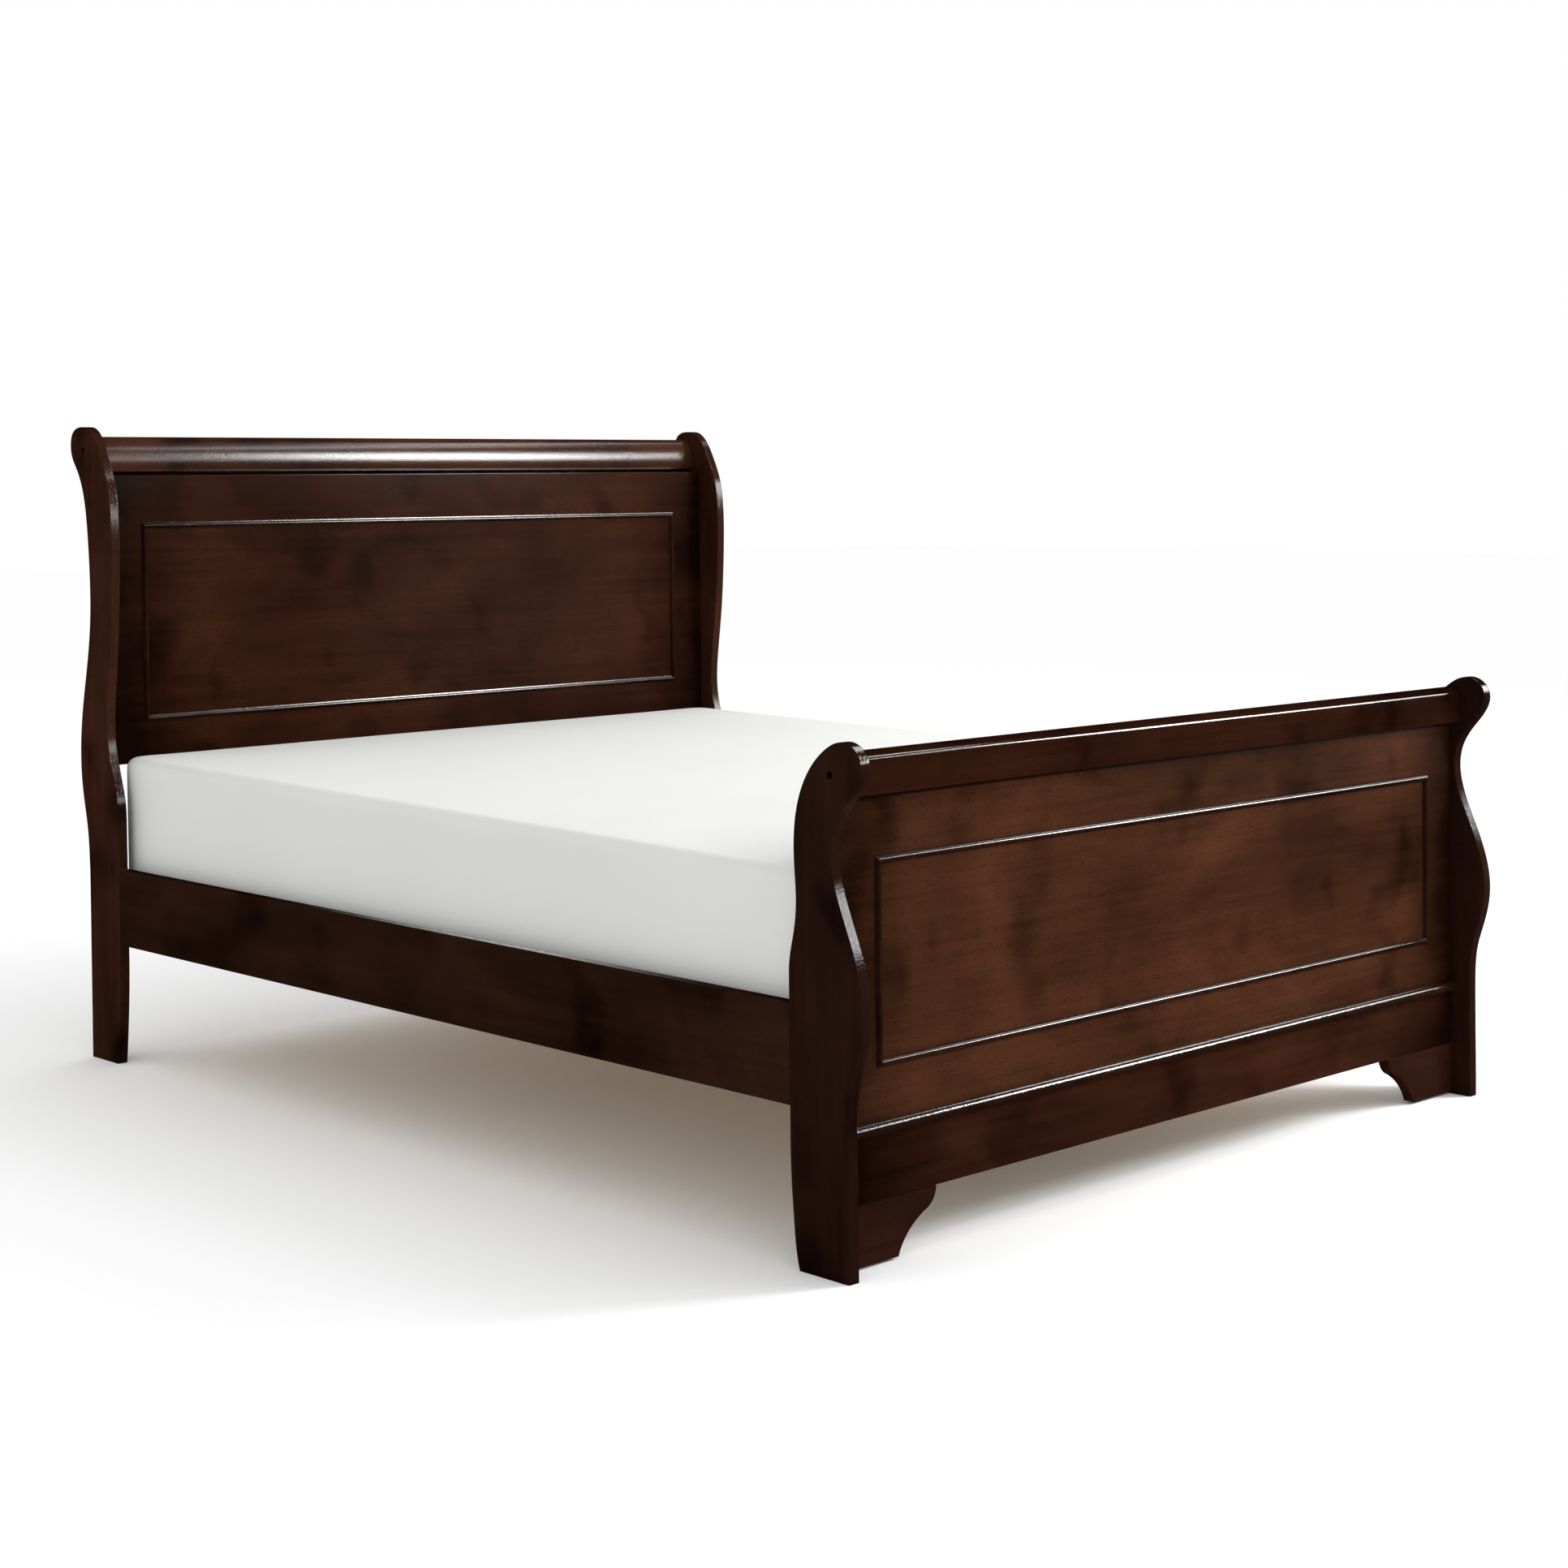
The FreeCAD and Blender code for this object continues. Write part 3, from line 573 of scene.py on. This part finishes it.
def repeat_tree(name):
    """Puts one copy of Part on every point, turned so that its +Z follows the point's stored direction."""
    tree, given = node_group(name, [("Geometry", "NodeSocketGeometry"), ("Part", "NodeSocketObject"),
                                    ("Finish", "NodeSocketMaterial")])
    part = add(tree, "GeometryNodeObjectInfo", {"transform_space": "ORIGINAL"}, out="Geometry",
               Object=given["Part"])
    facing = add(tree, "GeometryNodeInputNamedAttribute", {"data_type": "FLOAT_VECTOR"}, out="Attribute",
                 Name="facing")
    turn = add(tree, "FunctionNodeAlignEulerToVector", {"axis": "Z"}, out="Rotation", Vector=facing)
    copies = add(tree, "GeometryNodeInstanceOnPoints", out="Instances", Points=given["Geometry"],
                 Instance=part, Rotation=turn)
    real = add(tree, "GeometryNodeRealizeInstances", out="Geometry", Geometry=copies)
    done = add(tree, "GeometryNodeSetMaterial", out="Geometry", Geometry=real, Material=given["Finish"])
    add(tree, "NodeGroupOutput", Geometry=done)
    return tree


def repeated(name, tree, part, places, mat):
    """Copies of part at (point, direction) places, as one plain mesh."""
    mesh = bpy.data.meshes.new(name)
    mesh.from_pydata([tuple(p) for p, _ in places], [], [])
    facing = mesh.attributes.new("facing", "FLOAT_VECTOR", "POINT")
    facing.data.foreach_set("vector", [c for _, d in places for c in d])
    points = bpy.data.objects.new(name + "_points", mesh)
    bpy.context.scene.collection.objects.link(points)
    return finished(name, tree, {"Part": part, "Finish": mat}, points)


def thread_tree():
    """A threaded rod: a helical ridge of triangular section on a plain core, standing on z = 0."""
    tree, given = node_group("threaded_rod", [("Radius", "NodeSocketFloat"), ("Length", "NodeSocketFloat"),
                                              ("Pitch", "NodeSocketFloat"), ("Finish", "NodeSocketMaterial")])
    turns = add(tree, "ShaderNodeMath", {"operation": "DIVIDE"}, out=0, i0=given["Length"],
                i1=given["Pitch"])
    ridge = add(tree, "ShaderNodeMath", {"operation": "MULTIPLY"}, out=0, i0=given["Pitch"], i1=0.42)
    core = add(tree, "ShaderNodeMath", {"operation": "SUBTRACT"}, out=0, i0=given["Radius"], i1=ridge)
    middle = add(tree, "ShaderNodeMath", {"operation": "MULTIPLY"}, out=0, i0=given["Length"], i1=0.5)
    spiral = add(tree, "GeometryNodeCurveSpiral", out="Curve", Resolution=24, Rotations=turns,
                 Start_Radius=core, End_Radius=core, Height=given["Length"])
    section = add(tree, "GeometryNodeCurvePrimitiveCircle", out="Curve", Resolution=3, Radius=ridge)
    helix = add(tree, "GeometryNodeCurveToMesh", out="Mesh", Curve=spiral, Profile_Curve=section,
                Fill_Caps=True)
    rod = add(tree, "GeometryNodeMeshCylinder", out="Mesh", Vertices=24, Radius=core,
              Depth=given["Length"])
    lift = add(tree, "ShaderNodeCombineXYZ", out="Vector", Z=middle)
    raised = add(tree, "GeometryNodeTransform", out="Geometry", Geometry=rod, Translation=lift)
    both = add(tree, "GeometryNodeJoinGeometry", Geometry=helix)
    tree.links.new(raised, both.inputs["Geometry"])
    done = add(tree, "GeometryNodeSetMaterial", out="Geometry", Geometry=both.outputs["Geometry"],
               Material=given["Finish"])
    add(tree, "NodeGroupOutput", Geometry=done)
    return tree


def shifted(obj, offset):
    obj.data.transform(Matrix.Translation(offset))
    return obj


def joined(name, parts):
    bm = bmesh.new()
    mats = []
    for part in parts:
        start = len(bm.faces)
        bm.from_mesh(part.data)
        bm.faces.ensure_lookup_table()
        if part.data.materials[0] not in mats:
            mats.append(part.data.materials[0])
        for face in bm.faces[start:]:
            face.material_index = mats.index(part.data.materials[0])
    mesh = bpy.data.meshes.new(name)
    bm.to_mesh(mesh)
    bm.free()
    for mat in mats:
        mesh.materials.append(mat)
    for part in parts:
        bpy.data.objects.remove(part)
    obj = bpy.data.objects.new(name, mesh)
    bpy.context.scene.collection.objects.link(obj)
    return obj


def make_screws(steel):
    tree, part = repeat_tree("screws_on_points"), cross_screw(steel)
    for node in ("corner_plate_screws", "ledger_screws"):
        places = []
        for lo, hi in solids(node):
            way = 1 if lo.x > 0 else -1
            head = Vector((lo.x if way > 0 else hi.x, (lo.y + hi.y) / 2, (lo.z + hi.z) / 2))
            places.append((head + Vector((way * 0.05 * MM, 0, 0)), Vector((way, 0, 0))))
        screws = repeated(node + "_detailed", tree, part, places, steel)
        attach(screws, "frame")
        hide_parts(node)
    bpy.data.objects.remove(part)


def make_staples(steel):
    part, places = tape_staple(steel), []
    for lo, hi in solids("slat_webbing"):
        for name in sorted(n for n in NODES if n.startswith("slat_") and n != "slat_webbing"):
            slat_lo, slat_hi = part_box(name)
            for end in (0.3, 0.7):
                y = slat_lo.y + (slat_hi.y - slat_lo.y) * end
                places.append((Vector(((lo.x + hi.x) / 2, y, hi.z + 0.2 * MM)), Vector((0, 0, 1))))
    staples = repeated("webbing_staples", repeat_tree("staples_on_points"), part, places, steel)
    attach(staples, "frame")
    bpy.data.objects.remove(part)


def make_glides(nylon, steel):
    """Screw-in glide: a round moulded pad, a hex nut and a threaded stem."""
    tree = thread_tree()
    for i in (1, 2, 3):
        lo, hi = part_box("glide_%d" % i)
        x, y = (lo.x + hi.x) / 2, (lo.y + hi.y) / 2
        foot = [(0.5, 0), (14.6, 0), (16.2, 0.5), (17, 1.8), (17, 5.6), (16.4, 7.2), (14.8, 8.3),
                (12, 8.9), (0.5, 9)]
        pad = turned("pad", [(r * MM, z * MM) for r, z in foot], nylon, 48)
        nut = turned("nut", [(r * MM, z * MM) for r, z in
                             [(0.5, 9), (6.7, 9), (7.4, 9.5), (7.4, 12.4), (6.7, 13), (0.5, 13)]], steel, 6)
        rod = finished("stem", tree, {"Radius": 4 * MM, "Length": 43 * MM, "Pitch": 1.25 * MM,
                                      "Finish": steel})
        shifted(rod, (0, 0, 13 * MM))
        glide = joined("glide_%d_detailed" % i, [pad, nut, rod])
        shifted(glide, (x, y, lo.z))
        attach(glide, "glide_%d" % i)
        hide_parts("glide_%d" % i)


# ---------------------------------------------------------------- studio
def area_light(name, place, target, size, power):
    light = bpy.data.lights.new(name, "AREA")
    light.shape, light.size, light.size_y = "RECTANGLE", size[0], size[1]
    light.energy = power
    obj = bpy.data.objects.new(name, light)
    obj.location = place
    obj.visible_camera = False
    obj.rotation_mode = "QUATERNION"
    obj.rotation_quaternion = (Vector(target) - Vector(place)).to_track_quat("-Z", "Y")
    bpy.context.scene.collection.objects.link(obj)
    return obj


SOFTBOXES = [                             # name, place, aim, (width, height) in metres, watts
    ("key_softbox", (3.05, -3.0, 2.45), (0.1, 1.0, 1.2), (0.95, 1.8), 120),
    ("right_softbox", (4.6, -2.7, 2.65), (0.5, -0.6, 0.5), (0.9, 1.2), 42),
    ("low_softbox", (3.4, -3.4, 0.55), (0.2, 0.0, 0.6), (1.2, 0.7), 0.25),
    ("foot_softbox", (1.3, -3.0, 1.7), (-0.8, -1.1, 0.5), (0.4, 0.5), 7),
    ("overhead_softbox", (2.3, -0.95, 4.0), (0.4, 0.0, 0.6), (2.8, 0.35), 28)]


def make_studio():
    far = 30                              # the floor runs this far out each way
    floor = mesh_object("studio_floor", [(-far, -far, 0), (far, -far, 0), (far, far, 0), (-far, far, 0)],
                        [(0, 1, 2, 3)], painted_floor("painted_studio_floor"), smooth=False)
    floor.visible_glossy = False          # the floor would otherwise veil the dark lacquer
    world = bpy.data.worlds.new("studio_air")
    world.use_nodes = True
    world.node_tree.nodes["Background"].inputs["Color"].default_value = linear("#FFFFFF")
    world.node_tree.nodes["Background"].inputs["Strength"].default_value = 1.0
    world.cycles_visibility.glossy = False   # and so would the white air
    bpy.context.scene.world = world
    for box in SOFTBOXES:
        area_light(*box)
    sheen = area_light("sheen_softbox", (3.1, -3.05, 2.35), (0.1, 1.0, 1.2), (0.75, 1.3), 95)
    sheen.visible_diffuse = False         # only for the long bright reflection along the head crest


def make_camera():
    yaw, pitch, roll = (math.radians(a) for a in (44.33, -1.8, -0.55))
    forward = Vector((math.sin(yaw) * math.cos(pitch), math.cos(yaw) * math.cos(pitch), math.sin(pitch)))
    right = Vector((math.cos(yaw), -math.sin(yaw), 0))
    up = right.cross(forward)
    right, up = right * math.cos(roll) + up * math.sin(roll), up * math.cos(roll) - right * math.sin(roll)
    data = bpy.data.cameras.new("camera")
    data.lens, data.sensor_width = 60.69, 36.0
    data.shift_x, data.shift_y = -0.0538, -0.1398
    data.clip_end = 100
    cam = bpy.data.objects.new("camera", data)
    cam.matrix_world = Matrix.Translation((-3.36125, -3.77364, 1.13621)) @ Matrix(
        (right, up, -forward)).transposed().to_4x4()
    bpy.context.scene.collection.objects.link(cam)
    bpy.context.scene.camera = cam


finish_wood()
zinc = plated_steel("zinc_plated_steel", "#8E8C84", "#A9A79E", 0.32, 0.5)
screw_steel = plated_steel("yellow_zinc_screw_steel", "#8E8C84", "#B3A980", 0.28, 0.42)
bronzed = plated_steel("bronzed_steel", "#0D0907", "#1C130E", 0.35, 0.5)
finish_nodes(zinc, "corner_plates", "beam_hangers", "leg_insert_1", "leg_insert_2", "leg_insert_3")
finish_nodes(bronzed, "crest_bolts")
finish_nodes(woven_tape("woven_tape"), "slat_webbing")
make_screws(screw_steel)
make_staples(zinc)
make_glides(moulded_nylon("moulded_nylon"), zinc)
make_mattress(knit_ticking("knit_ticking"))
make_studio()
make_camera()
bpy.context.scene.view_settings.view_transform = "Standard"
